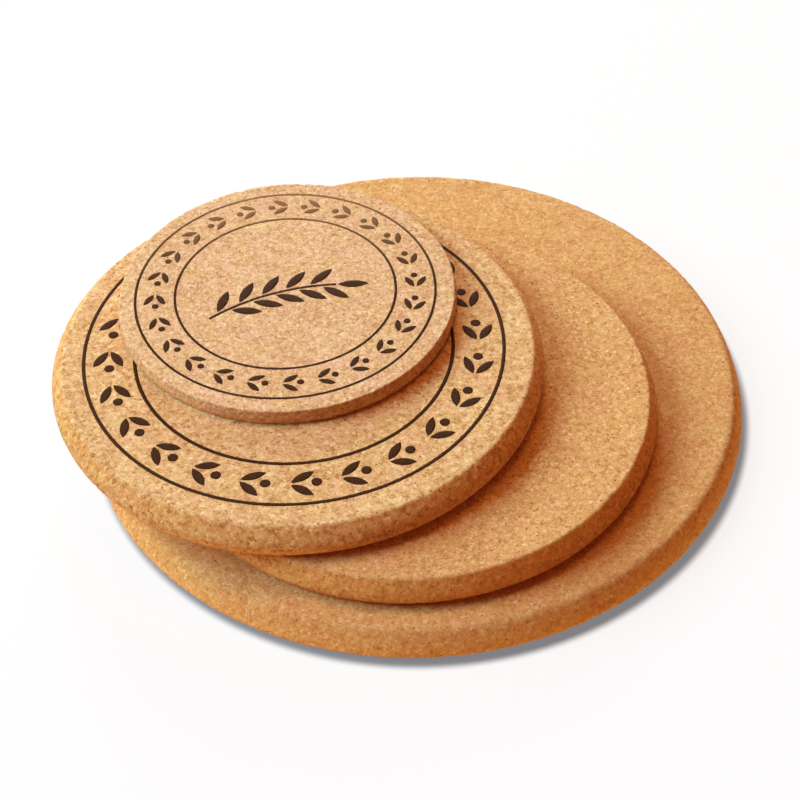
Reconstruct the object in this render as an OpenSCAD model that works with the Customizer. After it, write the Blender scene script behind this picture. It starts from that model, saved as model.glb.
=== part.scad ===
// Set of four round cork discs, fanned out in a loose stack.
// The two upper discs carry a print: two ring lines, a leaf border between them and a sprig.
// Millimetres, +Z up, origin at the middle of the lowest disc's underside.

/* [Extra-large disc] */
// Diameter
extra_large_d = 200; // [170:1:240]
// Thickness
extra_large_t = 10; // [7:0.5:20]
// How far the side wall bows out past the flat faces
extra_large_bow = 3.2; // [0.5:0.1:3.4]

/* [Large disc] */
// Diameter
large_d = 150; // [120:1:190]
// Thickness
large_t = 10; // [7:0.5:20]
// How far the side wall bows out past the flat faces
large_bow = 3.2; // [0.5:0.1:3.4]
// Middle of the disc, sideways from the disc below
large_x = -3; // [-40:0.5:40]
// Middle of the disc, front to back from the disc below
large_y = -14; // [-40:0.5:40]

/* [Medium disc] */
// Diameter
medium_d = 147; // [130:1:190]
// Thickness
medium_t = 10; // [7:0.5:20]
// How far the side wall bows out past the flat faces
medium_bow = 3.2; // [0.5:0.1:3.4]
// Middle of the disc, sideways from the disc below
medium_x = -32; // [-40:0.5:40]
// Middle of the disc, front to back from the disc below
medium_y = 8.5; // [-40:0.5:40]

/* [Small disc] */
// Diameter
small_d = 103; // [94:1:130]
// Thickness
small_t = 5; // [3:0.5:12]
// How far the side wall bows out past the flat faces
small_bow = 0.6; // [0.2:0.1:1.4]
// Middle of the disc, sideways from the disc below
small_x = -3; // [-25:0.5:25]
// Middle of the disc, front to back from the disc below
small_y = 20; // [-25:0.5:25]

/* [Ink] */
// Thickness of the ink film
ink_t = 0.1; // [0.05:0.05:0.3]
// Lean of the border leaves away from the band's middle, in degrees
leaf_lean = 32; // [20:1:45]
// Lean of the sprig's leaves away from its stem, in degrees
sprig_lean = 38; // [25:1:50]
// Clear space between a leaf and the stem or the leaf beside it
leaf_gap = 0.4; // [0.2:0.1:0.8]
// How far the leaves on one side of the stem lag behind the other side, as a share of their spacing
leaf_lag = 0.5; // [0:0.1:0.9]

/* [Medium print] */
// Width of the ring lines
medium_line_w = 1.1; // [0.6:0.1:1.6]
// From the disc's edge to the middle of the outer line
medium_margin = 11; // [8:0.1:14]
// From the middle of the outer line to the middle of the inner line
medium_band_w = 15.1; // [12:0.1:18]
// Clear space between the lines and the border leaves
medium_border_gap = 2.6; // [1:0.1:3.5]
// Spacing of the border's repeats
medium_border_pitch = 14.3; // [12:0.1:30]
// Width of a border leaf
medium_leaf_w = 2.7; // [1.5:0.1:3]
// Diameter of a border berry
medium_berry_d = 3; // [2:0.1:3.4]
// Clear space between the inner line and the sprig's ends
medium_sprig_margin = 12; // [8:0.5:20]
// Bend radius of the sprig's stem
medium_sprig_bend = 90; // [60:1:200]
// Width of the sprig's stem
medium_stem_w = 1.2; // [0.6:0.1:1.6]
// Length of a sprig leaf
medium_sprig_leaf_l = 13; // [9:0.5:16]
// Width of a sprig leaf
medium_sprig_leaf_w = 4.2; // [2.5:0.1:5]
// Spacing of the leaves along the stem
medium_sprig_pitch = 10; // [9:0.5:16]
// Turn of the sprig, in degrees
medium_sprig_turn = 15; // [-180:5:180]
// Sideways miss of the print from the disc's middle
medium_print_x = -1; // [-2:0.1:2]
// Front to back miss of the print from the disc's middle
medium_print_y = 1.3; // [-2:0.1:2]

/* [Small print] */
// Width of the ring lines
small_line_w = 0.8; // [0.5:0.1:1.2]
// From the disc's edge to the middle of the outer line
small_margin = 6; // [4:0.1:8]
// From the middle of the outer line to the middle of the inner line
small_band_w = 12; // [9:0.1:14]
// Clear space between the lines and the border leaves
small_border_gap = 2.4; // [1:0.1:3]
// Spacing of the border's repeats
small_border_pitch = 10.3; // [8:0.1:24]
// Width of a border leaf
small_leaf_w = 1.9; // [1:0.1:2.2]
// Diameter of a border berry
small_berry_d = 2.1; // [1.2:0.1:2.4]
// Clear space between the inner line and the sprig's ends
small_sprig_margin = 8; // [5:0.5:12]
// Bend radius of the sprig's stem
small_sprig_bend = 62; // [40:1:150]
// Width of the sprig's stem
small_stem_w = 0.9; // [0.5:0.1:1.2]
// Length of a sprig leaf
small_sprig_leaf_l = 9.5; // [6:0.5:12]
// Width of a sprig leaf
small_sprig_leaf_w = 3; // [1.5:0.1:3.6]
// Spacing of the leaves along the stem
small_sprig_pitch = 7.4; // [6.6:0.1:12]
// Turn of the sprig, in degrees
small_sprig_turn = 15; // [-180:5:180]
// Sideways miss of the print from the disc's middle
small_print_x = -0.6; // [-2:0.1:2]
// Front to back miss of the print from the disc's middle
small_print_y = 0.1; // [-2:0.1:2]

/* [Hidden] */
$fn = 180;

// Middles of the undersides of the discs above the lowest one
large_at = [large_x, large_y, extra_large_t];
medium_at = large_at + [medium_x, medium_y, large_t];
// The small disc lies on the medium disc's ink
small_at = medium_at + [small_x, small_y, medium_t + ink_t];

// Middles of the prints, on the cork's upper faces
medium_print_at = medium_at + [medium_print_x, medium_print_y, medium_t];
small_print_at = small_at + [small_print_x, small_print_y, small_t];

// Radii of the ring lines, at the middle of the line
medium_outer_r = medium_d / 2 - medium_margin;
medium_inner_r = medium_outer_r - medium_band_w;
small_outer_r = small_d / 2 - small_margin;
small_inner_r = small_outer_r - small_band_w;

cork_pale = "#d9ab76";
cork_tan = "#cf9656";
cork_amber = "#c08445";
ink_dark = "#2a2220";

// Flat round slab with a side wall that bows out in one arc
module disc(d, t, bow) {
    wall_r = (t * t / 4 + bow * bow) / (2 * bow);
    rotate_extrude() {
        square([d / 2 - wall_r, t]);
        intersection() {
            translate([d / 2 - wall_r, 0]) square([wall_r, t]);
            translate([d / 2 - wall_r, t / 2]) circle(r = wall_r);
        }
    }
}

module ring_line(r, w) {
    difference() {
        cylinder(r = r + w / 2, h = ink_t);
        translate([0, 0, -ink_t]) cylinder(r = r - w / 2, h = 3 * ink_t);
    }
}

// Pointed leaf lying along +X from the origin, bounded by two arcs
module leaf(l, w) {
    arc_r = (l * l + w * w) / (4 * w);
    intersection() {
        translate([l / 2, arc_r - w / 2, 0]) cylinder(r = arc_r, h = ink_t);
        translate([l / 2, w / 2 - arc_r, 0]) cylinder(r = arc_r, h = ink_t);
    }
}

// Leaf pairs and berries that run round a band between two ring lines
module leaf_border(r, reach, pitch, leaf_w, berry_d) {
    repeats = floor(2 * PI * r / pitch);
    leaf_l = (reach - leaf_gap) / sin(leaf_lean);
    for (i = [0 : repeats - 1])
        rotate(i * 360 / repeats) {
            for (side = [-1, 1])
                translate([r + side * leaf_gap, 0, 0])
                    rotate(90 - side * leaf_lean) leaf(leaf_l, leaf_w);
            rotate(-180 / repeats) translate([r, 0, 0]) cylinder(d = berry_d, h = ink_t);
        }
}

// Bent stem with leaves on alternate sides and one at its tip, middle of the stem at the origin
module sprig(l, bend, stem_w, leaf_l, leaf_w, pitch) {
    stem_l = l - leaf_l - leaf_gap;
    leaves = floor(stem_l / pitch);
    degrees_per_mm = 180 / (PI * bend);
    translate([0, -bend, 0]) rotate(90 + degrees_per_mm * l / 2) {
        rotate(-degrees_per_mm * stem_l) rotate_extrude(angle = degrees_per_mm * stem_l)
            translate([bend - stem_w / 2, 0]) square([stem_w, ink_t]);
        for (i = [1 : leaves], side = [-1, 1])
            rotate(-degrees_per_mm * (i - (side > 0 ? leaf_lag : 0)) * pitch)
                translate([bend + side * (stem_w / 2 + leaf_gap), 0, 0])
                    rotate(side * sprig_lean - 90) leaf(leaf_l, leaf_w);
        rotate(-degrees_per_mm * (stem_l + leaf_gap))
            translate([bend, 0, 0]) rotate(-90) leaf(leaf_l, leaf_w);
    }
}

module extra_large_disc() {
    color(cork_amber) disc(extra_large_d, extra_large_t, extra_large_bow);
}

module large_disc() {
    color(cork_tan) translate(large_at) disc(large_d, large_t, large_bow);
}

module medium_disc() {
    color(cork_pale) translate(medium_at) disc(medium_d, medium_t, medium_bow);
}

module medium_outer_line() {
    color(ink_dark) translate(medium_print_at) ring_line(medium_outer_r, medium_line_w);
}

module medium_inner_line() {
    color(ink_dark) translate(medium_print_at) ring_line(medium_inner_r, medium_line_w);
}

module medium_border_print() {
    color(ink_dark) translate(medium_print_at)
        leaf_border(
            r = medium_outer_r - medium_band_w / 2,
            reach = (medium_band_w - medium_line_w) / 2 - medium_border_gap,
            pitch = medium_border_pitch,
            leaf_w = medium_leaf_w,
            berry_d = medium_berry_d
        );
}

module medium_centre_print() {
    color(ink_dark) translate(medium_print_at) rotate(medium_sprig_turn)
        sprig(
            l = 2 * (medium_inner_r - medium_sprig_margin),
            bend = medium_sprig_bend,
            stem_w = medium_stem_w,
            leaf_l = medium_sprig_leaf_l,
            leaf_w = medium_sprig_leaf_w,
            pitch = medium_sprig_pitch
        );
}

module small_disc() {
    color(cork_pale) translate(small_at) disc(small_d, small_t, small_bow);
}

module small_outer_line() {
    color(ink_dark) translate(small_print_at) ring_line(small_outer_r, small_line_w);
}

module small_inner_line() {
    color(ink_dark) translate(small_print_at) ring_line(small_inner_r, small_line_w);
}

module small_border_print() {
    color(ink_dark) translate(small_print_at)
        leaf_border(
            r = small_outer_r - small_band_w / 2,
            reach = (small_band_w - small_line_w) / 2 - small_border_gap,
            pitch = small_border_pitch,
            leaf_w = small_leaf_w,
            berry_d = small_berry_d
        );
}

module small_centre_print() {
    color(ink_dark) translate(small_print_at) rotate(small_sprig_turn)
        sprig(
            l = 2 * (small_inner_r - small_sprig_margin),
            bend = small_sprig_bend,
            stem_w = small_stem_w,
            leaf_l = small_sprig_leaf_l,
            leaf_w = small_sprig_leaf_w,
            pitch = small_sprig_pitch
        );
}

extra_large_disc();
large_disc();
medium_disc();
medium_outer_line();
medium_inner_line();
medium_border_print();
medium_centre_print();
small_disc();
small_outer_line();
small_inner_line();
small_border_print();
small_centre_print();
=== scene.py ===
# Four loose round cork discs, fanned out in a stack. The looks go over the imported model.
import math

import bmesh
import bpy
from mathutils import Matrix, Vector, noise
from mathutils.bvhtree import BVHTree


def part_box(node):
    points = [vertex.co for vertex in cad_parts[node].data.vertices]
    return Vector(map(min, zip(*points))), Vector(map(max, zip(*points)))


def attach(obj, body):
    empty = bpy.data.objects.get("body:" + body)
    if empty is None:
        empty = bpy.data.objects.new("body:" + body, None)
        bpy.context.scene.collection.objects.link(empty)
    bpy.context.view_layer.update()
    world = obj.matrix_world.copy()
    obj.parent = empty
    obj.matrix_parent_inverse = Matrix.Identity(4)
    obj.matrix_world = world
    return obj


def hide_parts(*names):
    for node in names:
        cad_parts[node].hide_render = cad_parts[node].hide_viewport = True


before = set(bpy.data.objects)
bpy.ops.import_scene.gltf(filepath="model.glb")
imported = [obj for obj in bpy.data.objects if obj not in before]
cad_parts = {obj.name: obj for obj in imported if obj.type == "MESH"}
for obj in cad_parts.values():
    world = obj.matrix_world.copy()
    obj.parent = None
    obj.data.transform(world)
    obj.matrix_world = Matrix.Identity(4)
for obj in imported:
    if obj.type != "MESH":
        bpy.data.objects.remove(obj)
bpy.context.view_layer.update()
scene = bpy.context.scene
scene.view_settings.view_transform = "Standard"
mm = 0.001
weld = 0.01 * mm  # points closer than this become one
fullTurn = 2 * math.pi

# Camera, where the photograph was taken from
shot = {
    "focal": 82.14,            # mm
    "sensor": 36.0,            # mm
    "away": 569.0,             # mm from the aim
    "above": 45.91,            # degrees over the table
    "roll": -1.92,             # degrees
    "aim": (-4.98, 0.8, 0.0),  # mm
}


def makeCamera(look):
    above = math.radians(look["above"])
    back = Vector((0, -math.cos(above), math.sin(above)))
    data = bpy.data.cameras.new("camera")
    data.lens = look["focal"]
    data.sensor_width = look["sensor"]
    camera = bpy.data.objects.new("camera", data)
    tip = Matrix.Rotation(math.pi / 2 - above, 4, "X")
    roll = Matrix.Rotation(math.radians(look["roll"]), 4, "Z")
    spot = (Vector(look["aim"]) + back * look["away"]) * mm
    camera.matrix_world = Matrix.Translation(spot) @ tip @ roll
    scene.collection.objects.link(camera)
    scene.camera = camera


makeCamera(shot)
print("camera set")


def hexColour(code):  # sRGB hex to the linear colour that sockets take
    parts = [int(code[i:i + 2], 16) / 255 for i in (1, 3, 5)]
    return [c / 12.92 if c <= 0.04045 else ((c + 0.055) / 1.055) ** 2.4 for c in parts] + [1.0]


def perMm(size):  # texture scale that gives a feature of that many millimetres
    return 1 / (size * mm)


def addNode(tree, kind, inputs=None, stops=None, **settings):
    node = tree.nodes.new(kind)
    for name, value in settings.items():
        setattr(node, name, value)
    for socket, value in (inputs or {}).items():
        if isinstance(value, bpy.types.NodeSocket):
            tree.links.new(value, node.inputs[socket])
        else:
            node.inputs[socket].default_value = value
    for i, (place, colour) in enumerate(stops or []):
        elements = node.color_ramp.elements
        stop = elements[i] if i < len(elements) else elements.new(place)
        stop.position = place
        stop.color = hexColour(colour)
    return node


def newMaterial(name):
    material = bpy.data.materials.new(name)
    material.use_nodes = True
    material.node_tree.nodes.clear()
    return material


# Pressed cork granules, sanded flat: a matte tan ground with cream flecks, brown bits of bark
# and small open pores. The cut wall's colour is tinted deeper and more orange: painted shade.
# The four discs share these values, and the rest are with each disc. Sizes in mm.
sheet = {
    "wanderWide": 1.1,    # over what length granule outlines wander
    "wander": 0.9,        # and how far
    "grain": 0.6,
    "grainDetail": 3.0,
    "grainRough": 0.65,
    "grainShare": 0.5,
    "drift": 7.0,         # patches that lean to yellow or to pink
    "cream": "#F9E6C8",
    "creamShare": 0.03,   # of all granules
    "creamMost": 0.6,     # in the middle of such a granule
    "creamFrom": 0.2,     # where it starts to fade
    "creamTo": 0.5,       # and where it is gone
    "mottleFrom": 0.3,
    "mottleTo": 0.7,
    "barkFrom": 0.12,     # where a bit of bark starts to fade
    "barkTo": 0.26,       # and where it is gone
    "toneFrom": 0.2,      # tones between which the roughness changes
    "toneTo": 0.8,
    "roughDark": 0.95,
    "roughPale": 0.82,
    "bumpDeep": 0.2,
    "ior": 1.4,
    "specular": 0.3,
}


def corkMaterial(look):
    material = newMaterial(look["finish"])
    tree = material.node_tree
    place = addNode(tree, "ShaderNodeTexCoord").outputs["Object"]

    # granule outlines wander, so that no cell has straight sides
    wander = addNode(tree, "ShaderNodeTexNoise", {"Vector": place, "Scale": perMm(sheet["wanderWide"])})
    sway = [sheet["wander"] * mm] * 3
    bent = addNode(
        tree, "ShaderNodeVectorMath", {0: wander.outputs["Color"], 1: sway, 2: place},
        operation="MULTIPLY_ADD",
    ).outputs[0]

    granules = addNode(tree, "ShaderNodeTexVoronoi", {"Vector": bent, "Scale": perMm(look["granule"])})
    granuleTone = addNode(tree, "ShaderNodeSeparateColor", {0: granules.outputs["Color"]})
    grit = addNode(tree, "ShaderNodeTexVoronoi", {"Vector": bent, "Scale": perMm(look["grit"])})
    gritTone = addNode(tree, "ShaderNodeSeparateColor", {0: grit.outputs["Color"]})
    grain = addNode(
        tree, "ShaderNodeTexNoise",
        {"Vector": place, "Scale": perMm(sheet["grain"]), "Detail": sheet["grainDetail"],
         "Roughness": sheet["grainRough"]},
    )

    # tone of a spot: its granule, the grit in it and a soft grain
    tone = addNode(
        tree, "ShaderNodeMix", {0: look["gritShare"], 2: granuleTone.outputs[0], 3: gritTone.outputs[0]},
        data_type="FLOAT",
    )
    tone = addNode(
        tree, "ShaderNodeMix", {0: sheet["grainShare"], 2: tone.outputs[0], 3: grain.outputs["Fac"]},
        data_type="FLOAT",
    )
    colour = addNode(tree, "ShaderNodeValToRGB", {0: tone.outputs[0]}, stops=look["tones"]).outputs[0]

    # patches lean to yellow or to pink
    drift = addNode(tree, "ShaderNodeTexNoise", {"Vector": place, "Scale": perMm(sheet["drift"])})
    lean = addNode(tree, "ShaderNodeValToRGB", {0: drift.outputs["Fac"]}, stops=look["lean"])
    colour = addNode(
        tree, "ShaderNodeMix", {0: 1.0, 6: colour, 7: lean.outputs[0]},
        data_type="RGBA", blend_type="MULTIPLY",
    ).outputs[2]

    # a few granules are cream
    chosen = addNode(
        tree, "ShaderNodeMath", {0: granuleTone.outputs[2], 1: 1 - sheet["creamShare"]},
        operation="GREATER_THAN",
    )
    core = addNode(
        tree, "ShaderNodeMapRange",
        {0: granules.outputs["Distance"], 1: sheet["creamFrom"], 2: sheet["creamTo"],
         3: sheet["creamMost"], 4: 0.0},
    )
    pale = addNode(tree, "ShaderNodeMath", {0: chosen.outputs[0], 1: core.outputs[0]}, operation="MULTIPLY")
    colour = addNode(
        tree, "ShaderNodeMix", {0: pale.outputs[0], 6: colour, 7: hexColour(sheet["cream"])},
        data_type="RGBA",
    ).outputs[2]

    # slow mottling over the sheet
    clouds = addNode(tree, "ShaderNodeTexNoise", {"Vector": place, "Scale": perMm(look["mottleWide"])})
    cloudy = addNode(
        tree, "ShaderNodeMapRange",
        {0: clouds.outputs["Fac"], 1: sheet["mottleFrom"], 2: sheet["mottleTo"]},
    )
    dim, bright = look["mottle"]
    mottled = addNode(
        tree, "ShaderNodeMix", {0: cloudy.outputs[0], 6: hexColour(dim), 7: hexColour(bright)},
        data_type="RGBA",
    )
    colour = addNode(
        tree, "ShaderNodeMix", {0: look["mottling"], 6: colour, 7: mottled.outputs[2]},
        data_type="RGBA", blend_type="SOFT_LIGHT",
    ).outputs[2]

    # bits of bark, small and dark
    bark = addNode(tree, "ShaderNodeTexVoronoi", {"Vector": bent, "Scale": perMm(look["barkEvery"])})
    near = addNode(
        tree, "ShaderNodeMapRange",
        {0: bark.outputs["Distance"], 1: sheet["barkFrom"], 2: sheet["barkTo"], 3: 1.0, 4: 0.0},
    )
    barkTone = addNode(tree, "ShaderNodeSeparateColor", {0: bark.outputs["Color"]})
    few = addNode(tree, "ShaderNodeMapRange", {0: barkTone.outputs[1], 1: 1 - look["barkShare"]})
    speck = addNode(tree, "ShaderNodeMath", {0: near.outputs[0], 1: few.outputs[0]}, operation="MULTIPLY")
    colour = addNode(
        tree, "ShaderNodeMix", {0: speck.outputs[0], 6: colour, 7: hexColour(look["bark"])},
        data_type="RGBA",
    ).outputs[2]

    # the cut wall, tinted deeper and more orange: painted shade
    wall = addNode(tree, "ShaderNodeAttribute", attribute_name="cutWall").outputs["Fac"]
    colour = addNode(
        tree, "ShaderNodeMix", {0: wall, 6: colour, 7: hexColour(look["wall"])},
        data_type="RGBA", blend_type="MULTIPLY",
    ).outputs[2]

    # granules stand at slightly different heights, and the bark bits sit in pores
    height = addNode(
        tree, "ShaderNodeMath", {0: tone.outputs[0], 1: speck.outputs[0]}, operation="SUBTRACT"
    )
    bump = addNode(
        tree, "ShaderNodeBump",
        {"Strength": look["bump"], "Distance": sheet["bumpDeep"] * mm, "Height": height.outputs[0]},
    )
    rough = addNode(
        tree, "ShaderNodeMapRange",
        {0: tone.outputs[0], 1: sheet["toneFrom"], 2: sheet["toneTo"],
         3: sheet["roughDark"], 4: sheet["roughPale"]},
    )
    shader = addNode(
        tree, "ShaderNodeBsdfPrincipled",
        {"Base Color": colour, "Roughness": rough.outputs[0], "Normal": bump.outputs[0],
         "IOR": sheet["ior"], "Specular IOR Level": sheet["specular"]},
    )
    addNode(tree, "ShaderNodeOutputMaterial", {0: shader.outputs[0]})
    return material


# Matte screen-printing ink on open cork: very dark brown, a little lighter where grit shows through
inkLook = {
    "tones": [(0.45, "#381D0A"), (0.75, "#553418")],  # over the grain
    "grit": 0.6,      # mm
    "detail": 3.0,
    "grainFrom": 0.3,
    "grainTo": 0.7,
    "roughFrom": 0.55,
    "roughTo": 0.8,
    "bump": 0.3,
    "bumpDeep": 0.1,  # mm
    "ior": 1.5,
    "specular": 0.05,
}

# The small disc's ink is thinner towards the back
thinning = {
    "colour": "#A87C52",
    "share": 0.75,
    "from": 20.0,  # mm along Y
    "to": 66.0,
}


def inkMaterial(finish, look, thinner=None):
    material = newMaterial(finish)
    tree = material.node_tree
    place = addNode(tree, "ShaderNodeTexCoord").outputs["Object"]
    grain = addNode(
        tree, "ShaderNodeTexNoise",
        {"Vector": place, "Scale": perMm(look["grit"]), "Detail": look["detail"]},
    ).outputs["Fac"]
    colour = addNode(tree, "ShaderNodeValToRGB", {0: grain}, stops=look["tones"]).outputs[0]
    if thinner:
        along = addNode(tree, "ShaderNodeSeparateXYZ", {0: place}).outputs["Y"]
        thin = addNode(
            tree, "ShaderNodeMapRange",
            {0: along, 1: thinner["from"] * mm, 2: thinner["to"] * mm, 4: thinner["share"]},
        )
        colour = addNode(
            tree, "ShaderNodeMix", {0: thin.outputs[0], 6: colour, 7: hexColour(thinner["colour"])},
            data_type="RGBA",
        ).outputs[2]
    rough = addNode(
        tree, "ShaderNodeMapRange",
        {0: grain, 1: look["grainFrom"], 2: look["grainTo"], 3: look["roughFrom"], 4: look["roughTo"]},
    )
    bump = addNode(
        tree, "ShaderNodeBump",
        {"Strength": look["bump"], "Distance": look["bumpDeep"] * mm, "Height": grain},
    )
    shader = addNode(
        tree, "ShaderNodeBsdfPrincipled",
        {"Base Color": colour, "Roughness": rough.outputs[0], "Normal": bump.outputs[0],
         "IOR": look["ior"], "Specular IOR Level": look["specular"]},
    )
    addNode(tree, "ShaderNodeOutputMaterial", {0: shader.outputs[0]})
    return material


def finishPiece(bm, name, material, body, node):
    mesh = bpy.data.meshes.new(name)
    for face in bm.faces:
        face.smooth = True
    bm.to_mesh(mesh)
    mesh.materials.append(material)
    piece = bpy.data.objects.new(name, mesh)
    scene.collection.objects.link(piece)
    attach(piece, body)
    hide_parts(node)
    print(name, len(mesh.polygons), "faces")


def roundOff(verts):  # pulls the square rings of a unit grid into circles
    for v in verts:
        a, b = v.co.x, v.co.y
        if abs(a) >= abs(b) and a:
            r, turn = a, math.pi / 4 * b / a
        elif b:
            r, turn = b, math.pi / 2 - math.pi / 4 * a / b
        else:
            r, turn = 0, 0
        v.co.x = r * math.cos(turn)
        v.co.y = r * math.sin(turn)


# Relief of the pressed sheet, widths and depths in mm
relief = {
    "granule": 1.7,      # across
    "crevice": 0.07,     # depth between granules
    "creviceWide": 0.3,  # share of a granule
    "poreEvery": 4.2,
    "poreWide": 0.9,
    "pore": 0.22,        # depth of an open pore
    "waveWide": 14.0,
    "wave": 0.05,        # slow unevenness
    "chipWide": 2.0,
    "chipFrom": 0.1,     # level of the noise from which a crumb is lost
    "chip": 0.6,         # depth of crumbs lost from the shoulders
    "shoulder": 1.5,     # how far from the edge they are lost
    "wearStep": 0.5,     # how much one round of wear smooths
    "wallRough": 2.4,    # how much rougher the cut wall is than the sanded faces
}


def corkDepth(point, wall, edge):  # how far the surface lies under its ideal one, mm
    near = noise.voronoi(point / relief["granule"])[0]
    crevice = max(0, 1 - (near[1] - near[0]) / relief["creviceWide"]) ** 2 * relief["crevice"]
    poreNear = noise.voronoi(point / relief["poreEvery"])[0][0] * relief["poreEvery"]
    pore = max(0, 1 - (poreNear / (relief["poreWide"] / 2)) ** 2) * relief["pore"]
    wave = (noise.noise(point / relief["waveWide"]) + 1) / 2 * relief["wave"]
    crumb = max(0, noise.noise(point / relief["chipWide"]) - relief["chipFrom"]) * relief["chip"] * edge
    return max(crevice, pore) * (1 + relief["wallRough"] * wall) + wave + crumb


def drawnIn(look, level):  # share of the bow that the wall lies inside its widest line
    off = level - look["ridge"]
    reach = 1 - look["ridge"] if off > 0 else 1 + look["ridge"]
    share = math.hypot(off / reach, look["blunt"]) - look["blunt"]
    share /= math.hypot(1, look["blunt"]) - look["blunt"]
    return share if off > 0 else share * look["foot"]


def makeDisc(look):
    low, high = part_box(look["node"])
    middle = (low + high) / 2
    radius = (high.x - low.x) / 2
    half = (high.z - low.z) / 2
    bow = look["bow"] * mm
    cell = look["cell"] * mm
    shoulderWide = relief["shoulder"] * mm
    flat = radius - bow
    bm = bmesh.new()
    cells = round(math.pi * flat / 2 / cell)  # along a quarter of the edge
    bmesh.ops.create_grid(bm, x_segments=cells, y_segments=cells, size=1)
    roundOff(bm.verts)
    bmesh.ops.scale(bm, verts=bm.verts, vec=(flat, flat, 1))
    bmesh.ops.translate(bm, verts=bm.verts, vec=(0, 0, half))
    top = bm.faces[:]
    rim = [e for e in bm.edges if e.is_boundary]
    cutWall = bm.verts.layers.float.new("cutWall")
    shoulder = bm.verts.layers.float.new("shoulder")

    # the wall leans out from its shoulder to a blunt ridge under the middle, then turns in
    rows = round(2 * math.hypot(half, bow) / cell)
    for row in range(1, rows + 1):
        level = 1 - 2 * row / rows
        grown = bmesh.ops.extrude_edge_only(bm, edges=rim)["geom"]
        rim = [g for g in grown if isinstance(g, bmesh.types.BMEdge) and g.is_boundary]
        for v in (g for g in grown if isinstance(g, bmesh.types.BMVert)):
            v.co.xy = v.co.xy.normalized() * (radius - bow * drawnIn(look, level))
            v.co.z = half * level
            v[cutWall] = 1 if row < rows else 0
            v[shoulder] = max(0, 1 - min(row, rows - row) * cell / shoulderWide)

    # the underside is the upper face turned over
    copied = bmesh.ops.duplicate(bm, geom=top)["geom"]
    under = [g for g in copied if isinstance(g, bmesh.types.BMFace)]
    underVerts = [g for g in copied if isinstance(g, bmesh.types.BMVert)]
    wider = (radius - bow * look["foot"]) / flat
    bmesh.ops.scale(bm, verts=underVerts, vec=(wider, wider, 1))
    bmesh.ops.translate(bm, verts=underVerts, vec=(0, 0, -2 * half))
    bmesh.ops.reverse_faces(bm, faces=under)
    bmesh.ops.remove_doubles(bm, verts=bm.verts, dist=weld)
    bmesh.ops.recalc_face_normals(bm, faces=bm.faces)

    # the upper face stands off the middle, and its edges are worn
    offset = Vector(look["offset"]) * mm
    for v in bm.verts:
        if not v[cutWall]:
            edge = flat if v.co.z > 0 else flat * wider
            v[shoulder] = max(0, 1 - (edge - v.co.xy.length) / shoulderWide)
        if v.co.z > half * look["ridge"]:
            v.co.xy += offset * drawnIn(look, v.co.z / half)
    worn = [v for v in bm.verts if v[shoulder] > 0]
    for i in range(look["wear"]):
        bmesh.ops.smooth_vert(
            bm, verts=worn, factor=relief["wearStep"], use_axis_x=True, use_axis_y=True, use_axis_z=True
        )

    # relief, sunk along the normals
    bmesh.ops.translate(bm, verts=bm.verts, vec=middle)
    bm.normal_update()
    sunk = [corkDepth(v.co / mm, v[cutWall], v[shoulder]) * mm for v in bm.verts]
    for v, depth in zip(bm.verts, sunk):
        v.co -= v.normal * depth
    bm.normal_update()
    return bm


extraLargeDisc = {
    "name": "extra_large_cork",
    "node": "extra_large_disc",
    "body": "extra_large",
    "slot": "amber_cork",
    "finish": "pressed_cork_sanded_amber",
    "printed": False,
    "bow": 2.6,            # mm that the wall stands out past the flat faces
    "ridge": -0.35,        # level of the wall's widest line, from -1 at the foot to 1 at the shoulder
    "blunt": 0.5,          # how blunt that line is
    "foot": 1.2,           # share of the bow that the foot goes back in
    "offset": (0.0, 1.4),  # mm that the upper face stands off the middle
    "wear": 6,             # rounds of wear on the shoulders
    "cell": 0.77,          # mesh cell, mm
    "granule": 1.2,        # mm
    "grit": 0.55,          # mm
    "gritShare": 0.55,
    "tones": [(0.2, "#C49557"), (0.42, "#DCB075"), (0.6, "#E3C089"), (0.8, "#F2DEAF")],
    "lean": [(0.35, "#FFFDF0"), (0.65, "#FFF6F2")],
    "mottle": ("#707070", "#909090"),
    "mottleWide": 18.0,    # mm
    "mottling": 0.6,
    "barkEvery": 1.6,      # mm
    "barkShare": 0.3,
    "bark": "#8A5528",
    # tint of the cut wall: painted shade
    "wall": "#FFFAEC",
    "bump": 0.25,
}

largeDisc = {
    "name": "large_cork",
    "node": "large_disc",
    "body": "large",
    "slot": "tan_cork",
    "finish": "pressed_cork_sanded_tan",
    "printed": False,
    "bow": 2.7,
    "ridge": -0.25,
    "blunt": 0.4,
    "foot": 0.8,
    "offset": (0.0, 0.0),
    "wear": 1,
    "cell": 0.59,
    "granule": 1.2,
    "grit": 0.55,
    "gritShare": 0.55,
    "tones": [(0.2, "#B98B50"), (0.42, "#DDB478"), (0.6, "#E8C48F"), (0.8, "#F8E3B3")],
    "lean": [(0.35, "#FFFDF0"), (0.65, "#FFF6F2")],
    "mottle": ("#707070", "#909090"),
    "mottleWide": 18.0,
    "mottling": 0.6,
    "barkEvery": 1.5,
    "barkShare": 0.35,
    "bark": "#7A4A24",
    # tint of the cut wall: painted shade
    "wall": "#FFF1D4",
    "bump": 0.35,
}

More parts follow.
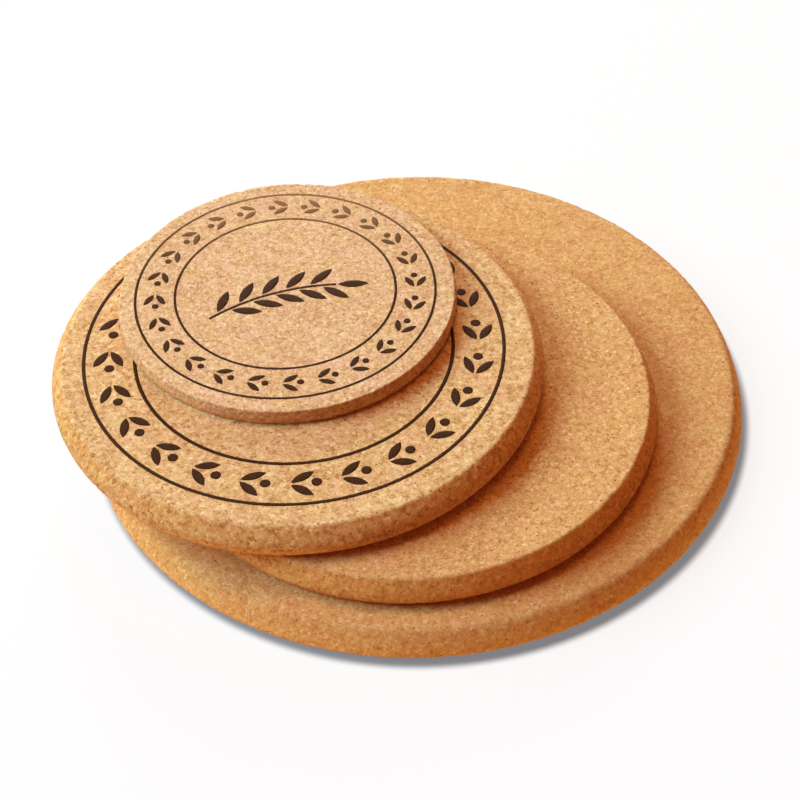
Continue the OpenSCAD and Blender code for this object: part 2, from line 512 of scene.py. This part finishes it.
mediumDisc = {
    "name": "medium_cork",
    "node": "medium_disc",
    "body": "medium",
    "slot": "pale_cork",
    "finish": "pressed_cork_sanded_pale_coarse",
    "printed": True,
    "bow": 3.3,
    "ridge": -0.05,
    "blunt": 0.9,
    "foot": 0.75,
    "offset": (0.2, 0.9),
    "wear": 0,
    "cell": 0.58,
    "granule": 1.35,
    "grit": 0.6,
    "gritShare": 0.5,
    "tones": [(0.25, "#BF945F"), (0.43, "#E1BF8E"), (0.58, "#E9CDA0"), (0.76, "#F8EAC6")],
    "lean": [(0.35, "#FFFDF0"), (0.65, "#FFF6F2")],
    "mottle": ("#686868", "#989898"),
    "mottleWide": 5.0,
    "mottling": 0.8,
    "barkEvery": 1.5,
    "barkShare": 0.35,
    "bark": "#80502A",
    # tint of the cut wall: painted shade
    "wall": "#FFEFD2",
    "bump": 0.35,
}

smallDisc = {
    "name": "small_cork",
    "node": "small_disc",
    "body": "small",
    "slot": "pale_cork",
    "finish": "pressed_cork_sanded_pale_fine",
    "printed": True,
    "bow": 0.6,
    "ridge": -0.2,
    "blunt": 0.3,
    "foot": 1.0,
    "offset": (0.0, 0.0),
    "wear": 0,
    "cell": 0.43,
    "granule": 1.1,
    "grit": 0.5,
    "gritShare": 0.55,
    "tones": [(0.27, "#C39A6E"), (0.44, "#DFBD93"), (0.57, "#E7C9A4"), (0.73, "#F4E3C6")],
    "lean": [(0.35, "#FFFDEC"), (0.65, "#FFF5F2")],
    "mottle": ("#707070", "#909090"),
    "mottleWide": 14.0,
    "mottling": 0.6,
    "barkEvery": 1.4,
    "barkShare": 0.35,
    "bark": "#85552E",
    # tint of the cut wall: painted shade
    "wall": "#FFEFD8",
    "bump": 0.3,
}

corkTops = {}  # surface of each printed disc, for the ink to lie on
for disc in (extraLargeDisc, largeDisc, mediumDisc, smallDisc):
    bm = makeDisc(disc)
    finishPiece(bm, disc["name"], corkMaterial(disc), disc["body"], disc["node"])
    if disc["printed"]:
        corkTops[disc["body"]] = BVHTree.FromBMesh(bm)
    bm.free()
print("cork discs made")

# Ink film, in mm
film = {
    "slot": "dark_ink",
    "thick": 0.07,
    "sunk": 0.02,       # into the cork
    "ragged": 0.07,     # how far its edges stray
    "raggedWide": 0.8,
    "raggedSeed": 5,    # 0 would give new edges each run
    "over": 10.0,       # height from which the cork under it is looked for
    "cell": 0.4,        # mesh cell
    "leafCells": 6,     # at least, along a leaf
    "leafAcross": 4,
    "berryCells": 6,
}
noise.seed_set(film["raggedSeed"])
inks = {
    "medium": inkMaterial("screen_ink_printed", inkLook),
    "small": inkMaterial("screen_ink_printed_thin", inkLook, thinning),
}


def makeFilm(bm, body, node):  # lays a flat shape on the cork and gives it its thickness
    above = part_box(node)[1].z + film["over"] * mm
    bmesh.ops.remove_doubles(bm, verts=bm.verts, dist=weld)
    for v in bm.verts:
        stray = noise.noise_vector(v.co / (film["raggedWide"] * mm))
        v.co.xy += stray.xy * film["ragged"] * mm
        hit = corkTops[body].ray_cast((v.co.x, v.co.y, above), (0, 0, -1))[0]
        v.co.z = hit.z + (film["thick"] - film["sunk"]) * mm
    bmesh.ops.recalc_face_normals(bm, faces=bm.faces)
    if sum(f.normal.z for f in bm.faces) < 0:
        bmesh.ops.reverse_faces(bm, faces=bm.faces)
    bmesh.ops.solidify(bm, geom=bm.faces[:], thickness=film["thick"] * mm)
    finishPiece(bm, node + "_ink", inks[body], body, node)
    bm.free()


def spinStrip(bm, r, wide, angle):  # flat strip of that width along an arc about the origin
    cell = film["cell"] * mm
    steps = max(1, round(r * abs(angle) / cell))
    bands = max(1, round(wide / cell))
    across = [bm.verts.new((r + wide * (k / bands - 0.5), 0, 0)) for k in range(bands + 1)]
    edges = [bm.edges.new(pair) for pair in zip(across, across[1:])]
    bmesh.ops.spin(
        bm, geom=across + edges, axis=(0, 0, 1), angle=angle, steps=steps,
        use_merge=abs(angle) >= fullTurn,
    )


def addLeaf(bm, long, wide, place):  # pointed leaf between two arcs, lying along +X of the given place
    arc = (long * long + wide * wide) / (4 * wide)
    cells = max(film["leafCells"], round(long / (film["cell"] * mm)))
    grid = bmesh.ops.create_grid(bm, x_segments=cells, y_segments=film["leafAcross"], size=1)["verts"]
    for v in grid:
        along = v.co.x * long / 2
        out = math.sqrt(arc * arc - along * along) - arc + wide / 2
        v.co = (along + long / 2, v.co.y * out, 0)
    bmesh.ops.transform(bm, matrix=place, verts=grid)


def addBerry(bm, wide, place):
    cells = film["berryCells"]
    grid = bmesh.ops.create_grid(bm, x_segments=cells, y_segments=cells, size=1)["verts"]
    roundOff(grid)
    bmesh.ops.scale(bm, verts=grid, vec=(wide / 2, wide / 2, 1))
    bmesh.ops.transform(bm, matrix=place, verts=grid)


def turnedBy(degrees):
    return Matrix.Rotation(math.radians(degrees), 4, "Z")


def movedBy(x):
    return Matrix.Translation((x, 0, 0))


def makePrint(look):
    outer = look["body"] + "_outer_line"
    inner = look["body"] + "_inner_line"
    low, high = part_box(outer)
    middle = (low + high) / 2
    line = look["line"] * mm
    gap = look["leafGap"] * mm
    outerR = (high.x - low.x - line) / 2
    low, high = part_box(inner)
    innerR = (high.x - low.x - line) / 2
    for node, r in ((outer, outerR), (inner, innerR)):
        bm = bmesh.new()
        spinStrip(bm, r, line, fullTurn)
        bmesh.ops.translate(bm, verts=bm.verts, vec=middle)
        makeFilm(bm, look["body"], node)

    # border: leaf pairs that follow each other round, with a berry between pairs
    bandR = (outerR + innerR) / 2
    repeats = math.floor(fullTurn * bandR / (look["pitch"] * mm))
    reach = (outerR - innerR - line) / 2 - look["borderGap"] * mm
    leafLong = (reach - gap) / math.sin(math.radians(look["leafLean"]))
    bm = bmesh.new()
    for side in (-1, 1):
        place = movedBy(bandR + side * gap) @ turnedBy(90 - side * look["leafLean"])
        addLeaf(bm, leafLong, look["leafWide"] * mm, place)
    addBerry(bm, look["berry"] * mm, turnedBy(-180 / repeats) @ movedBy(bandR))
    bmesh.ops.spin(
        bm, geom=bm.verts[:] + bm.edges[:] + bm.faces[:], axis=(0, 0, 1),
        angle=fullTurn * (1 - 1 / repeats), steps=repeats - 1, use_duplicate=True,
    )
    bmesh.ops.translate(bm, verts=bm.verts, vec=middle)
    makeFilm(bm, look["body"], look["body"] + "_border_print")

    # sprig: a bent stem, leaves on alternate sides and one at the tip
    long = 2 * (innerR - look["sprigMargin"] * mm)
    bend = look["sprigBend"] * mm
    stem = look["stem"] * mm
    leafLong = look["sprigLeafLong"] * mm
    leafWide = look["sprigLeafWide"] * mm
    pitch = look["sprigPitch"] * mm
    stemLong = long - leafLong - gap
    perMetre = math.degrees(1 / bend)
    bm = bmesh.new()
    spinStrip(bm, bend, stem, -math.radians(perMetre * stemLong))
    for i in range(1, math.floor(stemLong / pitch) + 1):
        for side in (-1, 1):
            at = (i - (look["leafLag"] if side > 0 else 0)) * pitch
            place = turnedBy(-perMetre * at) @ movedBy(bend + side * (stem / 2 + gap))
            addLeaf(bm, leafLong, leafWide, place @ turnedBy(side * look["sprigLean"] - 90))
    tip = turnedBy(-perMetre * (stemLong + gap)) @ movedBy(bend) @ turnedBy(-90)
    addLeaf(bm, leafLong, leafWide, tip)
    centre = Matrix.Translation(middle) @ turnedBy(look["sprigTurn"]) @ Matrix.Translation((0, -bend, 0))
    bmesh.ops.transform(bm, matrix=centre @ turnedBy(90 + perMetre * long / 2), verts=bm.verts)
    makeFilm(bm, look["body"], look["body"] + "_centre_print")


# Sizes in mm, angles in degrees
mediumPrint = {
    "body": "medium",
    "line": 1.1,
    "leafGap": 0.4,
    "borderGap": 2.6,
    "pitch": 14.3,
    "leafLean": 32,
    "leafWide": 2.7,
    "berry": 3.0,
    "sprigMargin": 12,
    "sprigBend": 90,
    "stem": 1.2,
    "sprigLeafLong": 13,
    "sprigLeafWide": 4.2,
    "sprigPitch": 10,
    "sprigLean": 38,
    "sprigTurn": 15,
    "leafLag": 0.5,  # share of the pitch between the leaves of the two sides
}

smallPrint = {
    "body": "small",
    "line": 0.8,
    "leafGap": 0.4,
    "borderGap": 2.4,
    "pitch": 10.3,
    "leafLean": 32,
    "leafWide": 1.9,
    "berry": 2.1,
    "sprigMargin": 8,
    "sprigBend": 62,
    "stem": 0.9,
    "sprigLeafLong": 9.5,
    "sprigLeafWide": 3.0,
    "sprigPitch": 7.4,
    "sprigLean": 38,
    "sprigTurn": 15,
    "leafLag": 0.5,
}

makePrint(mediumPrint)
makePrint(smallPrint)
print("prints made")

# White painted board, lifted to white for the eye, with a painted shadow: a grey ring round the
# stack's foot. For the cork the board glows warm light, painted bounce light, strongest just outside the
# foot.
# Sizes in mm.
floorLook = {
    "finish": "painted_board_white",
    "wide": 6000.0,
    "cells": 4,
    "down": 0.05,            # under the stack
    "colour": "#F8F8F8",
    "bounceGlow": [(0.0, "#6B5236"), (0.35, "#FFD08C"), (1.0, "#8A532E")],  # warm light that the board glows, going outwards: painted bounce light
    "bounceFrom": 100.0,
    "bounceTo": 130.0,
    "bounceLevel": 2.4,
    "white": "#FFFFFF",
    "lift": 0.85,            # share of white near the stack, which grows to all of it
    "whiteFrom": 200.0,
    "whiteTo": 700.0,
    # grey of the painted shadow round the foot, and where its ring lies
    "paintedShadow": "#80868C",
    "paintedShadowAt": (1.4, -0.5),
    "paintedShadowFrom": 99.2,
    "paintedShadowTo": 102.2,
}


def seenDirectly(tree):  # 1 for camera, glossy and transmission rays
    rays = addNode(tree, "ShaderNodeLightPath").outputs
    some = addNode(
        tree, "ShaderNodeMath", {0: rays["Is Camera Ray"], 1: rays["Is Glossy Ray"]}, operation="MAXIMUM"
    )
    return addNode(
        tree, "ShaderNodeMath", {0: some.outputs[0], 1: rays["Is Transmission Ray"]}, operation="MAXIMUM"
    ).outputs[0]


def makeFloor(look):
    bm = bmesh.new()
    bmesh.ops.create_grid(
        bm, x_segments=look["cells"], y_segments=look["cells"], size=look["wide"] / 2 * mm
    )
    bmesh.ops.translate(bm, verts=bm.verts, vec=(0, 0, -look["down"] * mm))
    mesh = bpy.data.meshes.new("floor")
    bm.to_mesh(mesh)
    bm.free()
    floor = bpy.data.objects.new("floor", mesh)
    scene.collection.objects.link(floor)
    material = newMaterial(look["finish"])
    tree = material.node_tree

    # what the eye sees: the board in its shadows, lifted to white, and the painted shadow round the foot
    board = addNode(tree, "ShaderNodeBsdfDiffuse", {"Color": hexColour(look["colour"])})
    place = addNode(tree, "ShaderNodeTexCoord").outputs["Object"]
    middle = [c * mm for c in look["paintedShadowAt"]] + [0.0]
    away = addNode(tree, "ShaderNodeVectorMath", {0: place, 1: middle}, operation="DISTANCE")
    # grey inside the ring, white outside it: painted shadow
    outside = addNode(
        tree, "ShaderNodeMapRange",
        {0: away.outputs["Value"], 1: look["paintedShadowFrom"] * mm, 2: look["paintedShadowTo"] * mm},
        interpolation_type="SMOOTHSTEP",
    )
    paintedShadowTone = addNode(
        tree, "ShaderNodeMix",
        {0: outside.outputs[0], 6: hexColour(look["paintedShadow"]), 7: hexColour(look["white"])},
        data_type="RGBA",
    )
    white = addNode(tree, "ShaderNodeEmission", {"Color": paintedShadowTone.outputs[2]})
    lift = addNode(
        tree, "ShaderNodeMapRange",
        {0: away.outputs["Value"], 1: look["whiteFrom"] * mm, 2: look["whiteTo"] * mm, 3: look["lift"]},
    )
    eye = addNode(
        tree, "ShaderNodeMixShader", {0: lift.outputs[0], 1: board.outputs[0], 2: white.outputs[0]}
    )

    # what the cork gets: warm light that the board glows whether or not it is lit, dimmer close to the
    # foot: painted bounce light
    further = addNode(
        tree, "ShaderNodeMapRange",
        {0: away.outputs["Value"], 1: look["bounceFrom"] * mm, 2: look["bounceTo"] * mm},
    )
    bounceGlow = addNode(tree, "ShaderNodeValToRGB", {0: further.outputs[0]}, stops=look["bounceGlow"])
    # the board glows like a lamp here: painted bounce light
    warm = addNode(
        tree, "ShaderNodeEmission", {"Color": bounceGlow.outputs[0], "Strength": look["bounceLevel"]}
    )
    mixed = addNode(
        tree, "ShaderNodeMixShader", {0: seenDirectly(tree), 1: warm.outputs[0], 2: eye.outputs[0]}
    )
    addNode(tree, "ShaderNodeOutputMaterial", {0: mixed.outputs[0]})
    mesh.materials.append(material)


makeFloor(floorLook)

# Soft studio light: a cool window on the left, a cool low panel behind, a little warm light from
# overhead, and a warm, dim room that the eye sees as white
window = {
    "name": "window",
    "turn": 177,    # degrees about the object
    "rise": 35,     # degrees over the table
    "away": 2.4,    # m
    "wide": 1.7,    # m
    "power": 78.5,  # W
    "colour": "#D1F1FF",
}

backPanel = {
    "name": "back_panel",
    "turn": 95,
    "rise": 20,
    "away": 2.4,
    "wide": 1.2,
    "power": 50.0,
    "colour": "#DDFBF9",
}

overhead = {
    "name": "overhead",
    "turn": 90,
    "rise": 76,
    "away": 2.0,
    "wide": 1.0,
    "power": 11.0,
    "colour": "#FFAE60",
}

room = {
    "colour": "#FF7C48",
    "level": 0.2,
    "white": "#FFFFFF",
}


def makeLamp(look):
    turn = math.radians(look["turn"])
    rise = math.radians(look["rise"])
    spot = Vector((math.cos(turn) * math.cos(rise), math.sin(turn) * math.cos(rise), math.sin(rise)))
    data = bpy.data.lights.new(look["name"], "AREA")
    data.shape = "DISK"
    data.size = look["wide"]
    data.energy = look["power"]
    data.color = hexColour(look["colour"])[:3]
    lamp = bpy.data.objects.new(look["name"], data)
    lamp.location = spot * look["away"]
    lamp.rotation_euler = spot.to_track_quat("Z", "Y").to_euler()
    scene.collection.objects.link(lamp)


def makeRoom(look):
    world = bpy.data.worlds.new("room")
    world.use_nodes = True
    tree = world.node_tree
    tree.nodes.clear()
    warm = addNode(tree, "ShaderNodeBackground", {0: hexColour(look["colour"]), 1: look["level"]})
    white = addNode(tree, "ShaderNodeBackground", {0: hexColour(look["white"])})
    mixed = addNode(
        tree, "ShaderNodeMixShader", {0: seenDirectly(tree), 1: warm.outputs[0], 2: white.outputs[0]}
    )
    addNode(tree, "ShaderNodeOutputWorld", {0: mixed.outputs[0]})
    scene.world = world


for lamp in (window, backPanel, overhead):
    makeLamp(lamp)
makeRoom(room)
print("floor and light set")

bpy.context.view_layer.update()
